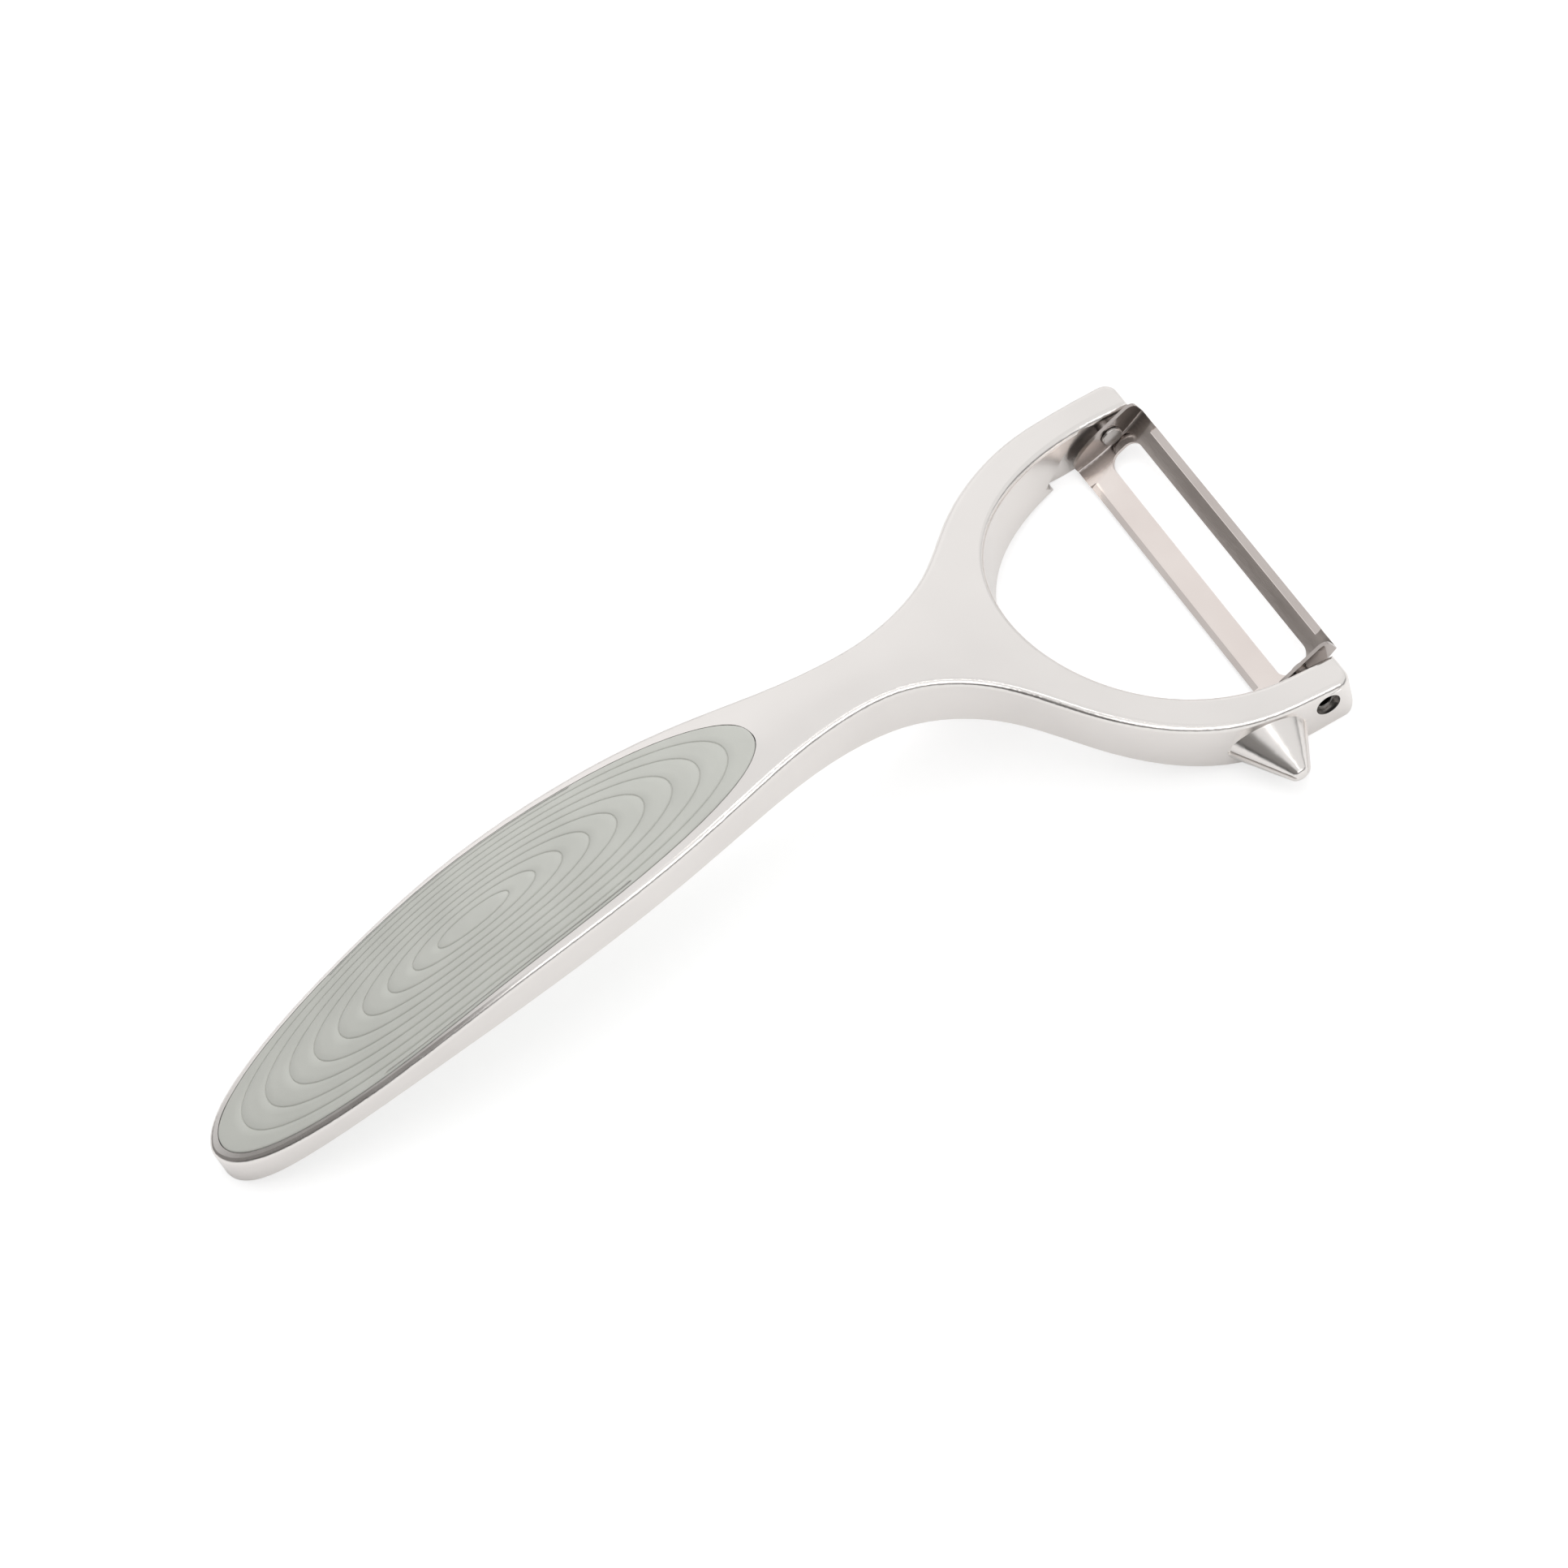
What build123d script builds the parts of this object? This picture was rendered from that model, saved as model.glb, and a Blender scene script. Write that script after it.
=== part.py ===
from build123d import *
from math import cos, pi, radians, sin, sqrt
import os

# Vegetable peeler, millimetres, +Z up. It is drawn with the tail's end at X = 0, the arm tips at
# X = overall_length and the mid plane at Y = 0, and moved at the end so that the origin is the
# centre of the bottom of the box it stands in, at table height.

# Overall sizes of the cast body
overall_length = 179.0
handle_width = 25.2
neck_width = 10.9
fork_width = 69.2
arm_width = 5.8
opening_length = 37.6
straight_arm = 6.0
crest_height = 26.4
top_edge_radius = 1.0
tip_corner_radius = 2.2
tip_lower_radius = 2.6

# Half outline in plan: share of the length, and share of the half-width of the zone it is in
handle_outline_shares = (
    (0.0073, 0.254), (0.0251, 0.460), (0.0615, 0.660), (0.117, 0.825), (0.184, 0.932),
    (0.274, 0.996), (0.363, 0.984), (0.453, 0.873), (0.520, 0.698),
)
neck_outline_shares = ((0.581, 1.190), (0.631, 1.000), (0.676, 1.075))
fork_outline_shares = (
    (0.712, 0.231), (0.745, 0.338), (0.773, 0.483), (0.799, 0.633), (0.828, 0.766),
    (0.861, 0.876), (0.897, 0.952), (0.939, 0.988),
)

# Side profile: share of the length, shares of the crest height for the top and bottom lines on
# the mid plane, share of the fork's half-width that the section spans, and crown at its sides
section_shares = (
    (-0.017, 0.197, -0.045, 0.28, 0.048),
    (0.034, 0.314, 0.068, 0.34, 0.068),
    (0.089, 0.451, 0.197, 0.40, 0.093),
    (0.173, 0.648, 0.356, 0.46, 0.121),
    (0.285, 0.867, 0.502, 0.49, 0.137),
    (0.397, 0.972, 0.612, 0.49, 0.137),
    (0.508, 0.998, 0.687, 0.50, 0.133),
    (0.620, 0.964, 0.636, 0.56, 0.114),
    (0.687, 0.915, 0.534, 0.70, 0.091),
    (0.749, 0.799, 0.386, 0.90, 0.061),
    (0.810, 0.617, 0.197, 1.07, 0.023),
    (0.872, 0.458, 0.049, 1.16, 0.015),
    (0.933, 0.360, -0.011, 1.19, 0.013),
    (1.017, 0.269, -0.023, 1.19, 0.013),
)

# Soft grips, one let into each face of the handle
grip_length = 97.6
grip_width = 22.7
grip_end_gap = 1.7
grip_roundness = 2.15
grip_points = 28
grip_depth = 1.4
grip_proud = 0.15

# Blade pressing, measured from its pivot: forward along the chord and up, square to it
blade_thickness = 0.6
blade_front = 6.1
blade_rear = 7.7
blade_drop = 1.0
blade_trough_radius = 27.0
blade_end_gap = 1.0
blade_tilt = 22.0
ear_rise = 2.3
ear_front_radius = 1.6
ear_rear_length = 6.0
ear_outer_bend = 0.9
ear_inner_bend = 0.4
slot_front = 2.4
slot_rear = 3.2
slot_length = 50.6
slot_corner_radius = 2.2
bevel_depth = 0.3
bevel_length = 47.0
bevel_reach = 1.9
bevel_end_radius = 1.2

# Pivots: a hollow rivet in each arm, its lip inside the blade's ear
pivot_from_tip = 4.7
pivot_height = 5.0
shank_radius = 1.2
running_clearance = 0.05
bore_radius = 2.0
bore_depth = 3.9
rivet_recess = 1.0
rivet_hollow_radius = 1.15
rivet_hollow_depth = 2.2
rivet_edge_radius = 0.25
lip_radius = 1.75
lip_thickness = 0.45
ear_side_play = 0.12

# Relief in the inner wall of each arm, behind the blade's ears
relief_slope = 37.0
relief_from_tip = 17.4
relief_height = 2.0

# Eye remover on the outer wall of the right arm, in an upper and a lower half
eye_from_tip = 14.2
eye_height = 4.3
eye_base_length = 10.2
eye_base_height = 7.2
eye_length = 7.4
eye_tip_radius = 1.05
eye_tip_rounding = 0.75
eye_lip = 0.4
eye_root_depth = 2.4
eye_half_height = 4.0

# Working margin of the cutting shapes beyond what they cut
cut_overrun = 12.0

half_fork = fork_width / 2
half_handle = handle_width / 2
half_neck = neck_width / 2
half_opening = half_fork - arm_width
pivot_x = overall_length - pivot_from_tip
blade_half = half_opening - blade_end_gap
tall = crest_height + cut_overrun


def outline_points(side):
    """Points of the plan outline on one side, from the tail to the start of the tip corner."""
    zones = (
        (handle_outline_shares, half_handle),
        (neck_outline_shares, half_neck),
        (fork_outline_shares, half_fork),
    )
    points = []
    for shares, half in zones:
        points += [(overall_length * along, side * half * share) for along, share in shares]
    return points + [(overall_length - tip_corner_radius, side * half_fork)]


def plan_outline():
    """Leaf-shaped handle, slim neck and fork, as a face on the table."""
    flank = Spline(outline_points(1)[::-1] + [(0, 0)] + outline_points(-1))
    corners = []
    for side, end in ((1, 0), (-1, 1)):
        inner = (overall_length, side * (half_fork - tip_corner_radius))
        corners.append(RadiusArc(flank @ end, inner, side * tip_corner_radius))
    tip = Line(corners[0] @ 1, corners[1] @ 1)
    return make_face([flank, *corners, tip])


def opening_outline():
    """Half-ellipse at the root of the fork, then straight to the tips."""
    centre = overall_length - straight_arm
    depth = opening_length - straight_arm
    ellipse = Pos(centre, 0) * Ellipse(depth, half_opening)
    throat = Pos(centre + cut_overrun, 0) * Rectangle(2 * cut_overrun, 2 * half_opening)
    return ellipse + throat


def upright(face):
    """Prism of a plan face, through everything above and below the table."""
    return Pos(0, 0, -cut_overrun) * extrude(face, tall + cut_overrun)


def section_face(share, low, high, low_offset, high_offset):
    """One crowned section of the body between two of its profile lines."""
    along, top, bottom, span, crown = share
    half = span * half_fork
    drop = crown * crest_height
    lines = {"top": (top * crest_height, -drop), "bottom": (bottom * crest_height, drop)}
    low_z, low_side = lines[low]
    high_z, high_side = lines[high]
    low_z += low_offset
    high_z += high_offset
    under = ThreePointArc((-half, low_z + low_side), (0, low_z), (half, low_z + low_side))
    over = ThreePointArc((half, high_z + high_side), (0, high_z), (-half, high_z + high_side))
    right = Line(under @ 1, over @ 0)
    left = Line(over @ 1, under @ 0)
    plane = Plane(origin=(along * overall_length, 0, 0), x_dir=(0, 1, 0), z_dir=(1, 0, 0))
    return plane * make_face([under, right, over, left])


def layer(low, high, low_offset=0, high_offset=0):
    """Arched layer along the whole body, between two of its profile lines."""
    return loft([section_face(share, low, high, low_offset, high_offset) for share in section_shares])


def rim_edges(solid, side):
    """Edges round the faces that look up (side 1) or down (side -1), without their shared seams."""
    faces = [face for face in solid.faces() if side * face.normal_at(face.center()).Z > sin(pi / 4)]
    edges = [edge for face in faces for edge in face.edges()]
    return [edge for edge in edges if sum(edge.is_same(other) for other in edges) == 1]


def body_blank():
    """Arched body with its walls square to the table, its opening cut and its edges rounded."""
    below = Pos(overall_length / 2, 0, -cut_overrun / 2) * Box(2 * overall_length, 2 * fork_width, cut_overrun)
    blank = layer("bottom", "top") & upright(plan_outline())
    blank -= upright(opening_outline())
    blank -= below
    square_x = overall_length - tip_lower_radius / 2
    square = Pos(square_x, 0, tip_lower_radius / 2) * Box(tip_lower_radius, 2 * fork_width, tip_lower_radius)
    nose = Pos(overall_length - tip_lower_radius, 0, tip_lower_radius) * Rot(90, 0, 0)
    blank -= square - nose * Cylinder(tip_lower_radius, 2 * fork_width)
    return fillet(rim_edges(blank, 1), top_edge_radius)


def grip_outline():
    """Plan of a soft grip: a long oval, a little fuller than an ellipse."""
    power = 2 / grip_roundness
    points = []
    for k in range(grip_points):
        turn = 2 * pi * k / grip_points
        c = cos(turn)
        s = sin(turn)
        along = abs(c) ** power * (1 if c >= 0 else -1)
        across = abs(s) ** power * (1 if s >= 0 else -1)
        points.append((grip_length / 2 * along, grip_width / 2 * across))
    return Pos(grip_end_gap + grip_length / 2, 0) * make_face(Spline(points, periodic=True))


def front_grip():
    """Soft pad let into the crowned front of the handle."""
    return layer("top", "top", -grip_depth, grip_proud) & upright(grip_outline())


def back_grip():
    """Soft pad let into the back of the handle, the same in plan as the front one."""
    return layer("bottom", "bottom", -grip_proud, grip_depth) & upright(grip_outline())


def pivot_axis(side):
    """Frame of one pivot: origin on the mid plane, z outward through the arm on that side."""
    return Plane(origin=(pivot_x, 0, pivot_height), x_dir=(1, 0, 0), z_dir=(0, side, 0))


def pin(radius, start, end):
    """Cylinder on a pivot's line between two distances from the mid plane."""
    return Pos(0, 0, (start + end) / 2) * Cylinder(radius, end - start)


def arm_bores(side):
    """Counterbore for the rivet's head and hole for its shank, through one arm."""
    step = half_fork - bore_depth
    wide = pin(bore_radius, step, half_fork + cut_overrun)
    narrow = pin(shank_radius, blade_half, half_fork)
    return pivot_axis(side) * (wide + narrow)


def rivet(side):
    """Hollow-ended rivet: head sunk in the arm, shank through the ear and a lip inside it."""
    step = half_fork - bore_depth
    head_end = half_fork - rivet_recess
    lip_end = blade_half - blade_thickness - ear_side_play
    head = pin(bore_radius, step, head_end) - pin(rivet_hollow_radius, head_end - rivet_hollow_depth, half_fork)
    mouth = [edge for edge in head.edges() if abs((edge @ 0).Z - head_end) < rivet_edge_radius]
    head = fillet(mouth, rivet_edge_radius)
    shank = pin(shank_radius, lip_end - lip_thickness / 2, step + lip_thickness)
    lip = pin(lip_radius, lip_end - lip_thickness, lip_end)
    lip = fillet([edge for edge in lip.edges().filter_by(GeomType.CIRCLE).sort_by(Axis.Z)[:1]], rivet_edge_radius)
    return pivot_axis(side) * (head + shank + lip)


def arm_relief(side):
    """Cut that carries an arm's straight inner wall back to a sloping shoulder behind the ear."""
    corner = Pos(overall_length - relief_from_tip, side * (half_opening - cut_overrun / 2), relief_height)
    reach = 2 * relief_from_tip
    block = Pos(reach / 2, 0, -reach / 2) * Box(reach, cut_overrun, reach)
    return corner * Rot(0, -relief_slope, 0) * block


def eye_half(side, growth):
    """Upper (side 1) or lower (side -1) half of the eye remover, larger all round by growth."""
    wall = Plane(origin=(overall_length - eye_from_tip, -half_fork, eye_height), x_dir=(1, 0, 0), z_dir=(0, -1, 0))
    slope_x = (eye_base_length / 2 - eye_tip_radius) / eye_length
    slope_z = (eye_base_height / 2 - eye_tip_radius) / eye_length
    root_x = eye_base_length / 2 + growth + slope_x * eye_root_depth
    root_z = eye_base_height / 2 + growth + slope_z * eye_root_depth
    root = Pos(0, 0, -eye_root_depth) * Ellipse(root_x, root_z)
    tip = Pos(0, 0, eye_length) * Circle(eye_tip_radius + growth)
    cone = loft([root, tip])
    cone = fillet(cone.edges().sort_by(Axis.Z)[-1], eye_tip_rounding + growth)
    keep = Pos(0, side * eye_half_height / 2) * Box(2 * eye_base_length, eye_half_height, 3 * eye_length)
    return wall * (cone & keep)


def frame():
    """Cast body with the grips' recesses, the arms' reliefs and bores, and the eye remover."""
    body = body_blank()
    oval = upright(grip_outline())
    body -= layer("top", "top", -grip_depth, cut_overrun) & oval
    body -= layer("bottom", "bottom", -cut_overrun, grip_depth) & oval
    for side in (1, -1):
        body -= arm_relief(side)
        body -= arm_bores(side)
    body += eye_half(1, 0)
    body += eye_half(-1, eye_lip)
    return body


def blade_plane():
    """Section plane of the blade at its rest tilt: x forward along the chord, y up, square to it."""
    tilt = radians(blade_tilt)
    return Plane(origin=(pivot_x, 0, pivot_height), x_dir=(cos(tilt), 0, sin(tilt)), z_dir=(0, -1, 0))


def blade_plan():
    """Plan plane of the blade through its pivot: x forward along the chord, y along the blade."""
    tilt = radians(blade_tilt)
    return Plane(origin=(pivot_x, 0, pivot_height), x_dir=(cos(tilt), 0, sin(tilt)), z_dir=(-sin(tilt), 0, cos(tilt)))


def ear_outline():
    """Section outline of an ear, open-ended below the trough."""
    low = -blade_drop - cut_overrun
    rear_top = ear_rear_length - blade_rear
    shoulder = blade_thickness - blade_drop
    rear = Line((-blade_rear, low), (-blade_rear, shoulder))
    corner = EllipticalCenterArc((rear_top, shoulder), ear_rear_length, ear_rise - shoulder, 90, arc_size=90)
    top = Line((rear_top, ear_rise), (blade_front - ear_front_radius, ear_rise))
    nose = TangentArc(top @ 1, (blade_front, ear_rise - ear_front_radius), tangent=(1, 0))
    front = Line(nose @ 1, (blade_front, low))
    base = Line(front @ 1, rear @ 0)
    return make_face([rear, corner, top, nose, front, base])


def blade_bevel(along):
    """Flat grinding of the trough's rising top beside one outer edge, with rounded ends."""
    plan = Pos(along, 0, -blade_drop - bevel_depth) * RectangleRounded(2 * bevel_reach, bevel_length, bevel_end_radius)
    return blade_plan() * extrude(plan, cut_overrun)


def blade():
    """Pressed steel blade: shallow trough with a long slot, and an ear turned up at each end."""
    chord = blade_front + blade_rear
    middle = (blade_front - blade_rear) / 2
    centre = Pos(middle, sqrt(blade_trough_radius ** 2 - (chord / 2) ** 2) - blade_drop)
    outer_radius = blade_trough_radius + blade_thickness
    inside = centre * Circle(blade_trough_radius)
    filled = centre * Circle(outer_radius)
    window = Pos(middle, -blade_drop) * Rectangle(chord, cut_overrun)
    strip = (filled - inside) & window
    solid = blade_plane() * extrude(strip, blade_half, both=True)
    ear = filled & ear_outline()
    ear -= Circle(shank_radius + running_clearance)
    inner_half = blade_half - blade_thickness
    ears = extrude(ear, blade_half, both=True) - extrude(ear, inner_half, both=True)
    solid += blade_plane() * ears
    arcs = solid.edges().filter_by(GeomType.CIRCLE)
    under = [edge for edge in arcs if abs(edge.radius - outer_radius) < bevel_depth]
    solid = fillet(under, ear_outer_bend)
    arcs = solid.edges().filter_by(GeomType.CIRCLE)
    inner = [edge for edge in arcs if abs(edge.radius - blade_trough_radius) < bevel_depth]
    solid = fillet(inner, ear_inner_bend)
    slot = RectangleRounded(slot_front + slot_rear, slot_length, slot_corner_radius)
    solid -= blade_plan() * Pos((slot_front - slot_rear) / 2, 0, -cut_overrun) * extrude(slot, 2 * cut_overrun)
    solid -= blade_bevel(blade_front)
    solid -= blade_bevel(-blade_rear)
    return solid


nodes = {
    "frame": frame(),
    "front_grip": front_grip(),
    "back_grip": back_grip(),
    "blade": blade(),
    "left_pivot_rivet": rivet(1),
    "right_pivot_rivet": rivet(-1),
}

corners = [solid.bounding_box() for solid in nodes.values()]
low_x = min(box.min.X for box in corners)
high_x = max(box.max.X for box in corners)
low_y = min(box.min.Y for box in corners)
high_y = max(box.max.Y for box in corners)
home = Pos(-(low_x + high_x) / 2, -(low_y + high_y) / 2, 0)

os.makedirs("parts", exist_ok=True)
for name, solid in nodes.items():
    export_step(home * solid, f"parts/{name}.step")
    box = (home * solid).bounding_box()
    print(name, solid.volume, solid.is_valid, len(solid.solids()), box.min, box.max)
print("pivot", home * Pos(pivot_x, 0, pivot_height))
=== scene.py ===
import math

import bmesh
import bpy
import numpy as np
from mathutils import Matrix, Vector


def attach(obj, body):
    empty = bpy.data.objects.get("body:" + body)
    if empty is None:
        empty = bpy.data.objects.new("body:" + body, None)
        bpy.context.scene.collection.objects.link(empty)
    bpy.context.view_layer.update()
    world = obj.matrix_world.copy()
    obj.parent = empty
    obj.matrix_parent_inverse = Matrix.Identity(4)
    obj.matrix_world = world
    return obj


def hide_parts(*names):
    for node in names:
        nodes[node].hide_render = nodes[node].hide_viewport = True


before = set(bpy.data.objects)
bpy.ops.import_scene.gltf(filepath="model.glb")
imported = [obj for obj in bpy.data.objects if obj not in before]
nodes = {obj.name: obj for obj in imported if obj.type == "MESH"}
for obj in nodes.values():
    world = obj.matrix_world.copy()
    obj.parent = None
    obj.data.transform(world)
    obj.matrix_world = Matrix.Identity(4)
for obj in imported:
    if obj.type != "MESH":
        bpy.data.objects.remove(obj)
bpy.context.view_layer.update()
MM = 0.001

# Mid plane of the peeler, and plan of the soft grips, in millimetres in the row frame
MID_Y = 3.7
GRIP_CENTRE = (-39.781, MID_Y)
GRIP_HALF = (48.8, 11.35)
GRIP_POWER = 2.15
RING_STEP = 0.0965
RINGS = 9
RING_WIDTH = 0.34
RING_DEPTH = 0.22
SEAM_GAP = 0.11
AROUND = 420

# Blade: where its rear and front bevels begin along X, half their length, how wide their border is,
# and the shares of the colour that painted shade leaves on them and on the ears
BEVELS = (78.27, 89.05)
BEVEL_HALF = 23.5
BEVEL_BORDER = 0.06
BEVEL_END_BORDER = 0.1
BEVEL_PAINTED_SHADE = 0.7
EARS_FROM = 24.8
EARS_BORDER = 1.6
EARS_PAINTED_SHADE = 0.55

# Rivets: distance from the mid plane over which painted shade darkens the hollow end, and the share of the
# colour it keeps
HOLLOW = (30.2, 31.2)
HOLLOW_PAINTED_SHADE = 0.3

# Camera at the photograph's viewing angle: degrees, metres, pixels of focal length, millimetres
AZIMUTH, ELEVATION, ROLL = -9.736, 56.379, -23.241
DISTANCE = 0.65562
FOCAL = 5376.28
TARGET = (10.822, 6.244, 6.535)
PHOTO_WIDTH = 1932
SENSOR_WIDTH = 36.0

# Table top: side, diffuse shade, and its shade and glow as the camera sees it
FLOOR_SIZE = 6.0
FLOOR_SHADE = 0.93
SEEN_SHADE = 0.5
SEEN_GLOW = 0.62

# Lamps: name, place, aim, width and height in metres, power in watts, seen in reflections
LAMPS = (
    ("overhead", (0.15, 0.25, 0.9), (0, 0, 0), (0.9, 0.6), 2.4, False),
    ("front", (0.1, -0.76, 0.63), (0, 0, 0), (0.9, 0.28), 1.5, True),
    ("side", (0.8, -0.1, 0.45), (0, 0, 0), (0.4, 0.6), 0.5, False),
    ("streak", (0.165, -0.197, 0.89), (0.08, -0.035, 0), (0.11, 0.13), 0.16, True),
)

# Studio: place and brightness of the bands between its dark and its light side
DARK_SHADES = ((0.0, 0.25), (0.20, 0.20), (0.32, 0.42), (0.42, 0.20), (0.64, 0.24))
LIGHT_SHADE = (0.95, 0.95)
DARK_TINT = (1.0, 0.97, 0.94)


def srgb(r, g, b):
    """Linear colour of an 8-bit sRGB one."""
    out = []
    for v in (r, g, b):
        v /= 255
        out.append(v / 12.92 if v <= 0.04045 else ((v + 0.055) / 1.055) ** 2.4)
    return (*out, 1.0)


class Nodes:
    """Short way to build a material's or world's nodes."""

    def __init__(self, tree):
        self.tree = tree
        tree.nodes.clear()

    def add(self, kind, **values):
        node = self.tree.nodes.new(kind)
        for key, value in values.items():
            setattr(node, key, value)
        return node

    def link(self, a, b):
        self.tree.links.new(a, b)


def material(name):
    m = bpy.data.materials.new(name)
    m.use_nodes = True
    return m, Nodes(m.node_tree)


def noise(t, coords, scale, detail=2.0, stretch=None):
    """Noise in object space, in metres, optionally stretched along an axis."""
    source = coords
    if stretch:
        mapping = t.add("ShaderNodeMapping")
        mapping.inputs["Scale"].default_value = stretch
        t.link(coords, mapping.inputs["Vector"])
        source = mapping.outputs["Vector"]
    n = t.add("ShaderNodeTexNoise")
    n.inputs["Scale"].default_value = scale
    n.inputs["Detail"].default_value = detail
    t.link(source, n.inputs["Vector"])
    return n.outputs["Fac"]


def remap(t, value, low, high, start=0.3, end=0.7):
    r = t.add("ShaderNodeMapRange")
    r.inputs["From Min"].default_value = start
    r.inputs["From Max"].default_value = end
    r.inputs["To Min"].default_value = low
    r.inputs["To Max"].default_value = high
    t.link(value, r.inputs["Value"])
    return r.outputs["Result"]


def tint(t, value, dark, light, start=0.3, end=0.7):
    ramp = t.add("ShaderNodeValToRGB")
    ramp.color_ramp.elements[0].position = start
    ramp.color_ramp.elements[0].color = dark
    ramp.color_ramp.elements[1].position = end
    ramp.color_ramp.elements[1].color = light
    t.link(value, ramp.inputs["Fac"])
    return ramp.outputs["Color"]


def bumped(t, height, strength, distance, shader):
    b = t.add("ShaderNodeBump")
    b.inputs["Strength"].default_value = strength
    b.inputs["Distance"].default_value = distance
    t.link(height, b.inputs["Height"])
    t.link(b.outputs["Normal"], shader.inputs["Normal"])


def satin_metal(name, dark, light, rough, grain, grain_depth):
    """Cast and satin-plated metal: faint cloudiness in the plating, and a very fine blasted grain."""
    m, t = material(name)
    coords = t.add("ShaderNodeTexCoord").outputs["Object"]
    shader = t.add("ShaderNodeBsdfPrincipled")
    shader.inputs["Metallic"].default_value = 1.0
    clouds = noise(t, coords, 60.0, 3.0)
    t.link(tint(t, clouds, dark, light), shader.inputs["Base Color"])
    t.link(remap(t, noise(t, coords, 240.0, 3.0), rough[0], rough[1]), shader.inputs["Roughness"])
    bumped(t, noise(t, coords, grain, 2.0), 0.25, grain_depth, shader)
    out = t.add("ShaderNodeOutputMaterial")
    t.link(shader.outputs["BSDF"], out.inputs["Surface"])
    return m


def drawn_steel(name, dark, light, rough, stretch, scale, depth, painted_shade=None):
    """Rolled and polished steel: fine lines along the sheet's rolling direction.

    The optional function gives the painted shade: the share of the colour that the steel keeps at each place."""
    m, t = material(name)
    coords = t.add("ShaderNodeTexCoord").outputs["Object"]
    shader = t.add("ShaderNodeBsdfPrincipled")
    shader.inputs["Metallic"].default_value = 1.0
    lines = noise(t, coords, scale, 4.0, stretch)
    wide = noise(t, coords, 90.0, 2.0)
    colour = tint(t, wide, dark, light)
    if painted_shade:
        # painted shade: the colour is scaled down where the given function says
        kept = t.add("ShaderNodeVectorMath", operation="SCALE")
        t.link(colour, kept.inputs[0])
        t.link(painted_shade(t, coords), kept.inputs["Scale"])
        colour = kept.outputs["Vector"]
    t.link(colour, shader.inputs["Base Color"])
    t.link(remap(t, lines, rough[0], rough[1]), shader.inputs["Roughness"])
    bumped(t, lines, 0.3, depth, shader)
    out = t.add("ShaderNodeOutputMaterial")
    t.link(shader.outputs["BSDF"], out.inputs["Surface"])
    return m


def from_middle(t, coords):
    """Distance from the mid plane, and place along X."""
    parts = t.add("ShaderNodeSeparateXYZ")
    t.link(coords, parts.inputs["Vector"])
    shift = t.add("ShaderNodeMath", operation="SUBTRACT")
    t.link(parts.outputs["Y"], shift.inputs[0])
    shift.inputs[1].default_value = MID_Y * MM
    size = t.add("ShaderNodeMath", operation="ABSOLUTE")
    t.link(shift.outputs["Value"], size.inputs[0])
    return size.outputs["Value"], parts.outputs["X"]


def painted_blade_shade(t, coords):
    """Share of the colour kept on the blade: painted shade on its two ground bevels and on its bent ends."""
    across, along = from_middle(t, coords)
    front = remap(t, along, 0.0, 1.0, BEVELS[1] * MM, (BEVELS[1] + BEVEL_BORDER) * MM)
    rear = remap(t, along, 1.0, 0.0, (BEVELS[0] - BEVEL_BORDER) * MM, BEVELS[0] * MM)
    either = t.add("ShaderNodeMath", operation="MAXIMUM")
    t.link(front, either.inputs[0])
    t.link(rear, either.inputs[1])
    inside = remap(t, across, 1.0, 0.0, (BEVEL_HALF - BEVEL_END_BORDER) * MM, BEVEL_HALF * MM)
    both = t.add("ShaderNodeMath", operation="MULTIPLY")
    t.link(either.outputs["Value"], both.inputs[0])
    t.link(inside, both.inputs[1])
    # painted shade: the ground bevels are darkened to stand in for their darker reflection
    bevels = remap(t, both.outputs["Value"], 1.0, BEVEL_PAINTED_SHADE, 0.0, 1.0)
    # painted shade: the bent ends are darkened to stand in for their dark reflection
    ears = remap(t, across, 1.0, EARS_PAINTED_SHADE, EARS_FROM * MM, (EARS_FROM + EARS_BORDER) * MM)
    kept = t.add("ShaderNodeMath", operation="MULTIPLY")
    t.link(bevels, kept.inputs[0])
    t.link(ears, kept.inputs[1])
    return kept.outputs["Value"]


def painted_hollow_shade(t, coords):
    """Share of the colour kept on a rivet: painted shade in its hollow outer end, where shade falls in the
    recess.
    """
    across, _ = from_middle(t, coords)
    return remap(t, across, 1.0, HOLLOW_PAINTED_SHADE, HOLLOW[0] * MM, HOLLOW[1] * MM)


def soft_rubber(name, dark, light):
    """Moulded soft plastic: matte, with a fine even texture and slight cloudiness."""
    m, t = material(name)
    coords = t.add("ShaderNodeTexCoord").outputs["Object"]
    shader = t.add("ShaderNodeBsdfPrincipled")
    shader.inputs["Specular IOR Level"].default_value = 0.35
    t.link(tint(t, noise(t, coords, 110.0, 4.0), dark, light), shader.inputs["Base Color"])
    t.link(remap(t, noise(t, coords, 900.0, 2.0), 0.52, 0.66), shader.inputs["Roughness"])
    bumped(t, noise(t, coords, 5200.0, 2.0), 0.35, 0.00003, shader)
    out = t.add("ShaderNodeOutputMaterial")
    t.link(shader.outputs["BSDF"], out.inputs["Surface"])
    return m


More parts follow.
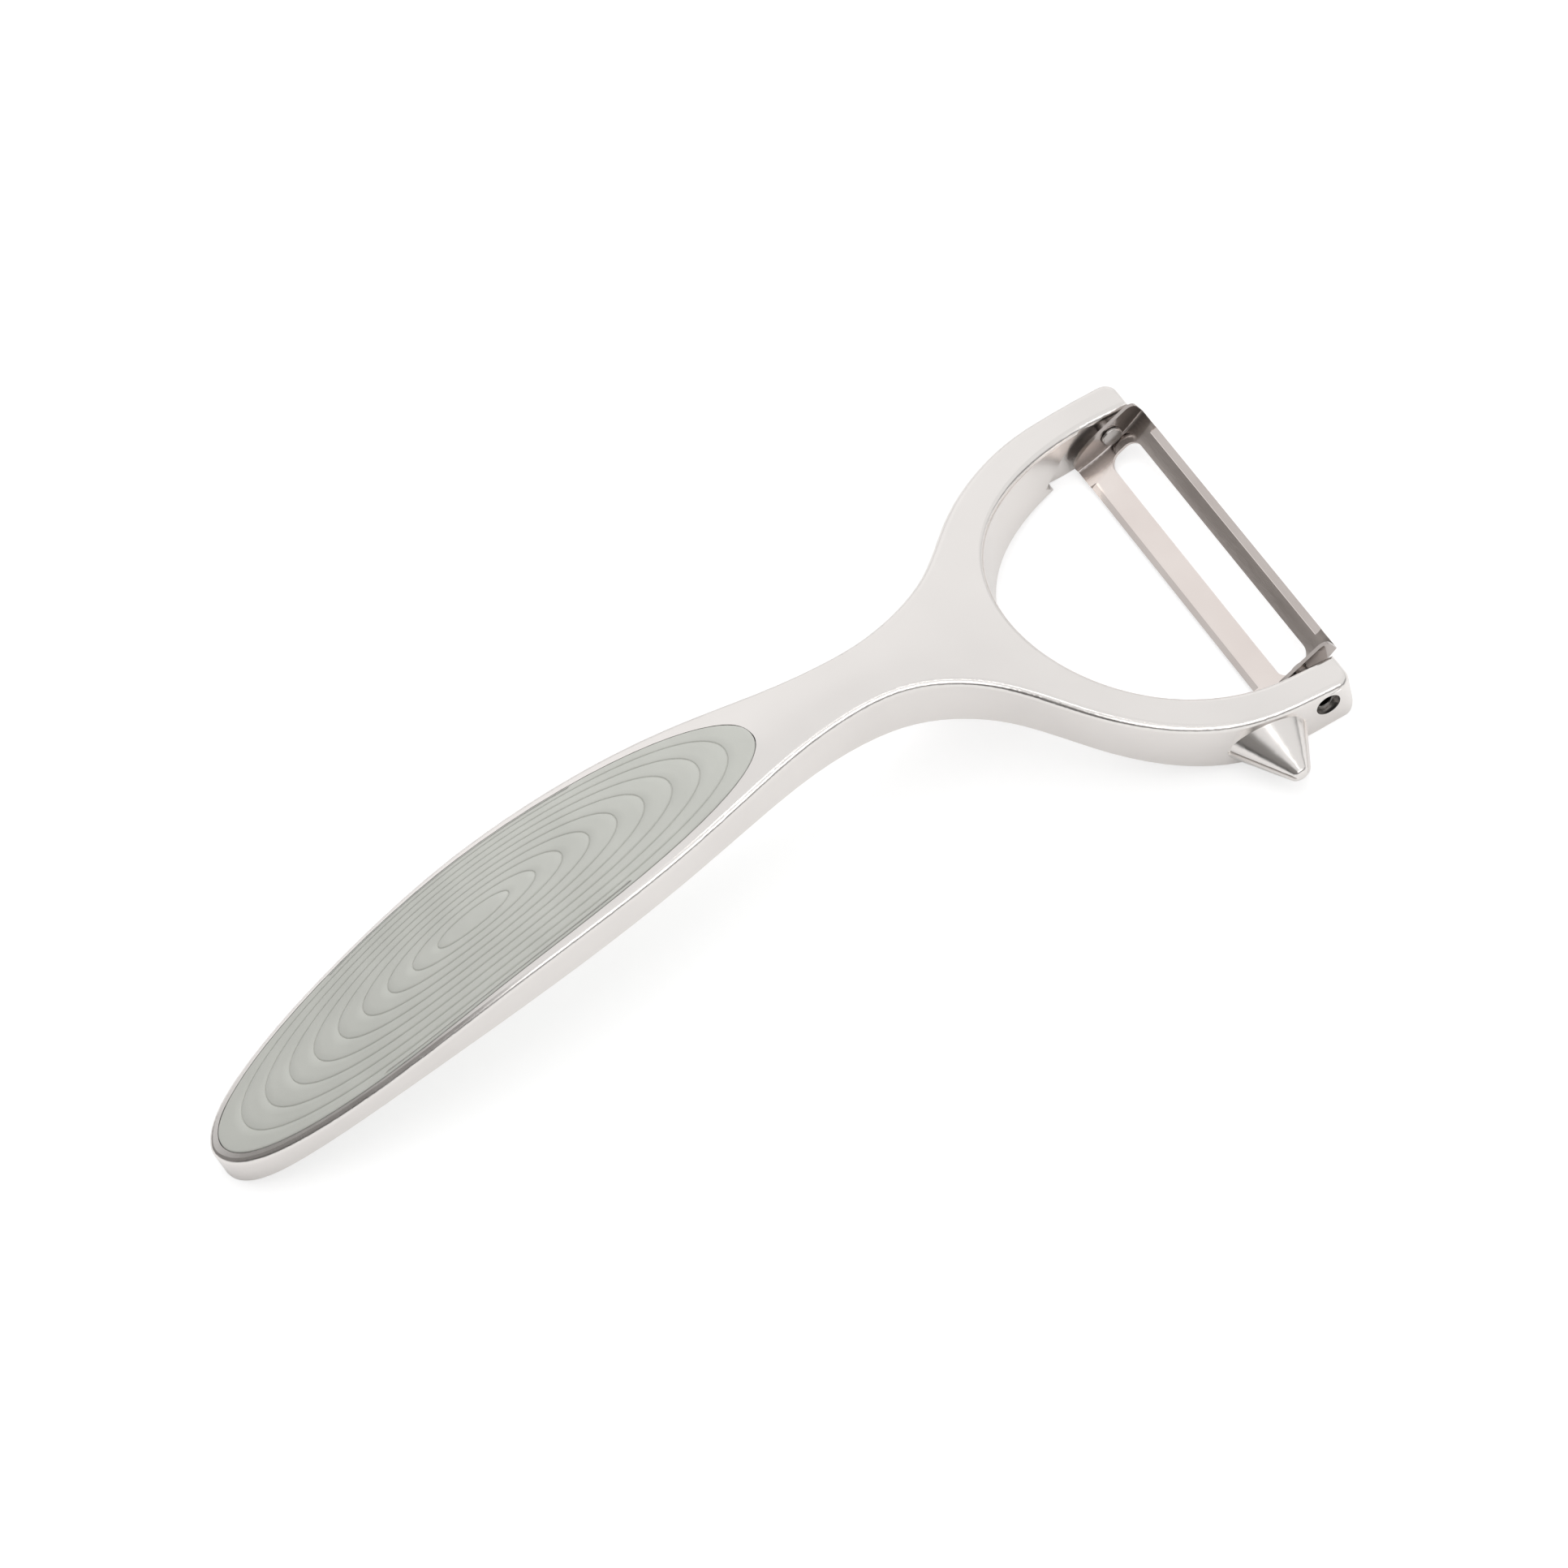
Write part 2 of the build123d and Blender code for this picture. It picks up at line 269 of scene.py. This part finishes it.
def superellipse(count):
    """Points of the grip's outline on a unit scale, evenly spaced along it, and their outward normals."""
    fine = np.linspace(0, 2 * math.pi, 20001)
    power = 2 / GRIP_POWER
    x = GRIP_HALF[0] * np.sign(np.cos(fine)) * np.abs(np.cos(fine)) ** power
    y = GRIP_HALF[1] * np.sign(np.sin(fine)) * np.abs(np.sin(fine)) ** power
    run = np.concatenate([[0], np.cumsum(np.hypot(np.diff(x), np.diff(y)))])
    at = np.linspace(0, run[-1], count, endpoint=False)
    px, py = np.interp(at, run, x), np.interp(at, run, y)
    dx, dy = np.roll(px, -1) - np.roll(px, 1), np.roll(py, -1) - np.roll(py, 1)
    size = np.hypot(dx, dy)
    normal = np.stack([dy / size, -dx / size], 1)
    return np.stack([px, py], 1), normal


def surface_fit(node, side):
    """Smooth height over the plan for a CAD node's upper (side 1) or lower (side -1) face, in millimetres."""
    mesh = nodes[node].data
    used = set()
    for poly in mesh.polygons:
        if poly.normal.z * side > 0.5:
            used.update(poly.vertices)
    pts = np.array([mesh.vertices[i].co[:] for i in sorted(used)]) / MM
    x, y = (pts[:, 0] - GRIP_CENTRE[0]) / GRIP_HALF[0], (pts[:, 1] - GRIP_CENTRE[1]) / GRIP_HALF[1]

    def basis(x, y):
        cols = [x**k for k in range(10)]
        cols += [y**2 * x**k for k in range(7)]
        cols += [y**4 * x**k for k in range(3)]
        return np.stack(cols, -1)

    fit, *_ = np.linalg.lstsq(basis(x, y), pts[:, 2], rcond=None)
    worst = np.abs(basis(x, y) @ fit - pts[:, 2]).max()
    print(f"{node}: surface fit within {worst:.3f} mm")

    def height(px, py):
        return basis((px - GRIP_CENTRE[0]) / GRIP_HALF[0], (py - GRIP_CENTRE[1]) / GRIP_HALF[1]) @ fit

    return height


def grip_pad(name, node, side, mat):
    """Soft pad with ring grooves pressed into it and a rounded rim that leaves a fine seam."""
    height = surface_fit(node, side)
    outline, normal = superellipse(AROUND)
    reach = (outline * normal).sum(1)
    rows = []

    def row(scale, inward, depth):
        """One ring of the mesh: the outline scaled, then drawn in by a distance, and sunk by a depth."""
        share = scale - inward / reach
        rows.append((outline * share[:, None], depth))

    half = RING_WIDTH / 2
    profile = [(1.0, 0.0), (0.62, 0.18), (0.3, 0.75), (0.0, 1.0), (-0.3, 0.75), (-0.62, 0.18), (-1.0, 0.0)]
    for wall in (1.0, 0.45, 0.22):
        row(1.0, SEAM_GAP, wall)
    for inward, depth in ((0.03, 0.12), (0.09, 0.055), (0.18, 0.018), (0.32, 0.0)):
        row(1.0, SEAM_GAP + inward, depth)
    scales = [1.0] + [1.0 - RING_STEP * (k + 1) for k in range(RINGS)]
    for k in range(RINGS):
        for f in (0.35, 0.65):
            row(scales[k] + (scales[k + 1] - scales[k]) * f, 0.0, 0.0)
        for across, depth in profile:
            row(scales[k + 1], -across * half, depth * RING_DEPTH)
    for f in (0.75, 0.5, 0.25, 0.08):
        row(scales[-1] * f, 0.0, 0.0)

    bm = bmesh.new()
    rings = []
    for flat, depth in rows:
        x, y = flat[:, 0] + GRIP_CENTRE[0], flat[:, 1] + GRIP_CENTRE[1]
        z = height(x, y) - side * depth
        rings.append([bm.verts.new((a * MM, b * MM, c * MM)) for a, b, c in zip(x, y, z)])
    centre_z = float(height(np.array([GRIP_CENTRE[0]]), np.array([GRIP_CENTRE[1]]))[0])
    centre = bm.verts.new((GRIP_CENTRE[0] * MM, GRIP_CENTRE[1] * MM, centre_z * MM))
    for a, b in zip(rings[:-1], rings[1:]):
        for i in range(AROUND):
            j = (i + 1) % AROUND
            bm.faces.new((a[i], a[j], b[j], b[i]))
    for i in range(AROUND):
        bm.faces.new((rings[-1][i], rings[-1][(i + 1) % AROUND], centre))
    bmesh.ops.recalc_face_normals(bm, faces=bm.faces)
    bm.faces.ensure_lookup_table()
    if bm.faces[-1].normal.z * side < 0:
        bmesh.ops.reverse_faces(bm, faces=bm.faces)
    mesh = bpy.data.meshes.new(name)
    bm.to_mesh(mesh)
    bm.free()
    mesh.shade_smooth()
    mesh.materials.append(mat)
    pad = bpy.data.objects.new(name, mesh)
    bpy.context.scene.collection.objects.link(pad)
    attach(pad, "handle")
    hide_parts(node)
    return pad


def dress(node, mat):
    """Gives a CAD node its material."""
    mesh = nodes[node].data
    if mesh.materials:
        for i in range(len(mesh.materials)):
            mesh.materials[i] = mat
    else:
        mesh.materials.append(mat)


cast = satin_metal("satin_cast", srgb(233, 229, 226), srgb(238, 234, 231), (0.22, 0.27), 3000.0, 0.000006)
steel = drawn_steel(
    "blade_sheet", srgb(231, 221, 216), srgb(238, 229, 224), (0.12, 0.2), (14.0, 1.0, 14.0), 500.0, 0.000005,
    painted_blade_shade,
)
pin_steel = drawn_steel(
    "rivet_turned", srgb(186, 182, 179), srgb(202, 198, 195), (0.16, 0.3), (1.0, 30.0, 1.0), 400.0, 0.00001,
    painted_hollow_shade,
)
rubber = soft_rubber("soft_grip_rubber", srgb(186, 187, 181), srgb(193, 194, 188))

dress("frame", cast)
dress("blade", steel)
dress("left_pivot_rivet", pin_steel)
dress("right_pivot_rivet", pin_steel)
grip_pad("front_grip_pad", "front_grip", 1, rubber)
grip_pad("back_grip_pad", "back_grip", -1, rubber)


def floor():
    """White table top that keeps the shadow. Seen directly it is lifted to white where it is lit."""
    bpy.ops.mesh.primitive_plane_add(size=FLOOR_SIZE, location=(0, 0, 0))
    plane = bpy.context.object
    plane.name = "floor"
    m, t = material("white_table")
    surface = t.add("ShaderNodeBsdfDiffuse")
    surface.inputs["Color"].default_value = (FLOOR_SHADE, FLOOR_SHADE, FLOOR_SHADE, 1)
    seen = t.add("ShaderNodeBsdfDiffuse")
    seen.inputs["Color"].default_value = (SEEN_SHADE, SEEN_SHADE, SEEN_SHADE, 1)
    lift = t.add("ShaderNodeEmission")
    lift.inputs["Color"].default_value = (1, 1, 1, 1)
    lift.inputs["Strength"].default_value = SEEN_GLOW
    both = t.add("ShaderNodeAddShader")
    t.link(seen.outputs["BSDF"], both.inputs[0])
    t.link(lift.outputs["Emission"], both.inputs[1])
    path = t.add("ShaderNodeLightPath")
    mix = t.add("ShaderNodeMixShader")
    t.link(path.outputs["Is Camera Ray"], mix.inputs["Fac"])
    t.link(surface.outputs["BSDF"], mix.inputs[1])
    t.link(both.outputs["Shader"], mix.inputs[2])
    out = t.add("ShaderNodeOutputMaterial")
    t.link(mix.outputs["Shader"], out.inputs["Surface"])
    plane.data.materials.append(m)


def surroundings():
    """White for the camera; for light and reflections a bright studio with a dark side on the left.

    Behind the camera the dark side reaches further in, and the horizon stays dark higher up."""
    world = bpy.data.worlds.new("studio")
    bpy.context.scene.world = world
    world.use_nodes = True
    t = Nodes(world.node_tree)
    coords = t.add("ShaderNodeTexCoord")
    split = t.add("ShaderNodeSeparateXYZ")
    t.link(coords.outputs["Generated"], split.inputs["Vector"])

    def smooth(value, low, high, start, end):
        step = t.add("ShaderNodeMapRange", interpolation_type="SMOOTHSTEP")
        step.inputs["From Min"].default_value = start
        step.inputs["From Max"].default_value = end
        step.inputs["To Min"].default_value = low
        step.inputs["To Max"].default_value = high
        t.link(value, step.inputs["Value"])
        return step.outputs["Result"]

    def combine(operation, first, second):
        step = t.add("ShaderNodeMath", operation=operation)
        t.link(first, step.inputs[0])
        t.link(second, step.inputs[1])
        return step.outputs["Value"]

    x, y, z = split.outputs["X"], split.outputs["Y"], split.outputs["Z"]
    across = combine("ADD", x, smooth(y, -0.16, 0.0, -0.45, 0.1))
    bands = t.add("ShaderNodeMapRange")
    bands.inputs["From Min"].default_value = -0.80
    bands.inputs["From Max"].default_value = -0.48
    t.link(across, bands.inputs["Value"])
    ramp = t.add("ShaderNodeValToRGB")
    bright = [(place, [shade * part for part in DARK_TINT]) for place, shade in DARK_SHADES]
    bright.append((LIGHT_SHADE[0], [LIGHT_SHADE[1]] * 3))
    while len(ramp.color_ramp.elements) < len(bright):
        ramp.color_ramp.elements.new(0.5)
    for element, (place, colour) in zip(ramp.color_ramp.elements, bright):
        element.position = place
        element.color = (*colour, 1)
    t.link(bands.outputs["Result"], ramp.inputs["Fac"])
    height = combine("ADD", z, smooth(y, -0.06, 0.22, -0.4, 0.2))
    rise = smooth(height, 0.25, 1.0, 0.14, 0.40)
    slope = smooth(y, 0.93, 1.07, 0.42, 0.66)
    studio = t.add("ShaderNodeBackground")
    t.link(combine("MULTIPLY", rise, slope), studio.inputs["Strength"])
    t.link(ramp.outputs["Color"], studio.inputs["Color"])
    white = t.add("ShaderNodeBackground")
    white.inputs["Color"].default_value = (1, 1, 1, 1)
    white.inputs["Strength"].default_value = 1.0
    path = t.add("ShaderNodeLightPath")
    mix = t.add("ShaderNodeMixShader")
    t.link(path.outputs["Is Camera Ray"], mix.inputs["Fac"])
    t.link(studio.outputs["Background"], mix.inputs[1])
    t.link(white.outputs["Background"], mix.inputs[2])
    out = t.add("ShaderNodeOutputWorld")
    t.link(mix.outputs["Shader"], out.inputs["Surface"])


def softbox(name, place, aim, size, power, mirrored):
    """Rectangular lamp that looks at a point; where it isn't mirrored, metal shows the studio behind it."""
    data = bpy.data.lights.new(name, "AREA")
    data.shape = "RECTANGLE"
    data.size, data.size_y = size
    data.energy = power
    lamp = bpy.data.objects.new(name, data)
    bpy.context.scene.collection.objects.link(lamp)
    lamp.location = place
    lamp.rotation_mode = "QUATERNION"
    lamp.rotation_quaternion = (Vector(aim) - Vector(place)).to_track_quat("-Z", "Y")
    lamp.visible_glossy = mirrored


floor()
surroundings()
for lamp in LAMPS:
    softbox(*lamp)


def photo_camera():
    """Camera at the photograph's viewing angle: azimuth and elevation of its back axis, then its roll."""
    azimuth, elevation, roll = math.radians(AZIMUTH), math.radians(ELEVATION), math.radians(ROLL)
    target = Vector(TARGET) * MM
    flat = math.cos(elevation)
    back = Vector((math.sin(azimuth) * flat, -math.cos(azimuth) * flat, math.sin(elevation)))
    level = Vector((math.cos(azimuth), math.sin(azimuth), 0))
    upright = back.cross(level)
    right = math.cos(roll) * level + math.sin(roll) * upright
    up = math.cos(roll) * upright - math.sin(roll) * level
    data = bpy.data.cameras.new("camera")
    data.sensor_width = SENSOR_WIDTH
    data.lens = FOCAL / PHOTO_WIDTH * SENSOR_WIDTH
    data.clip_start, data.clip_end = 0.05, 20.0
    cam = bpy.data.objects.new("camera", data)
    bpy.context.scene.collection.objects.link(cam)
    turn = Matrix((right, up, back)).transposed().to_4x4()
    cam.matrix_world = Matrix.Translation(target + DISTANCE * back) @ turn
    bpy.context.scene.camera = cam


photo_camera()
bpy.context.scene.view_settings.view_transform = "Standard"
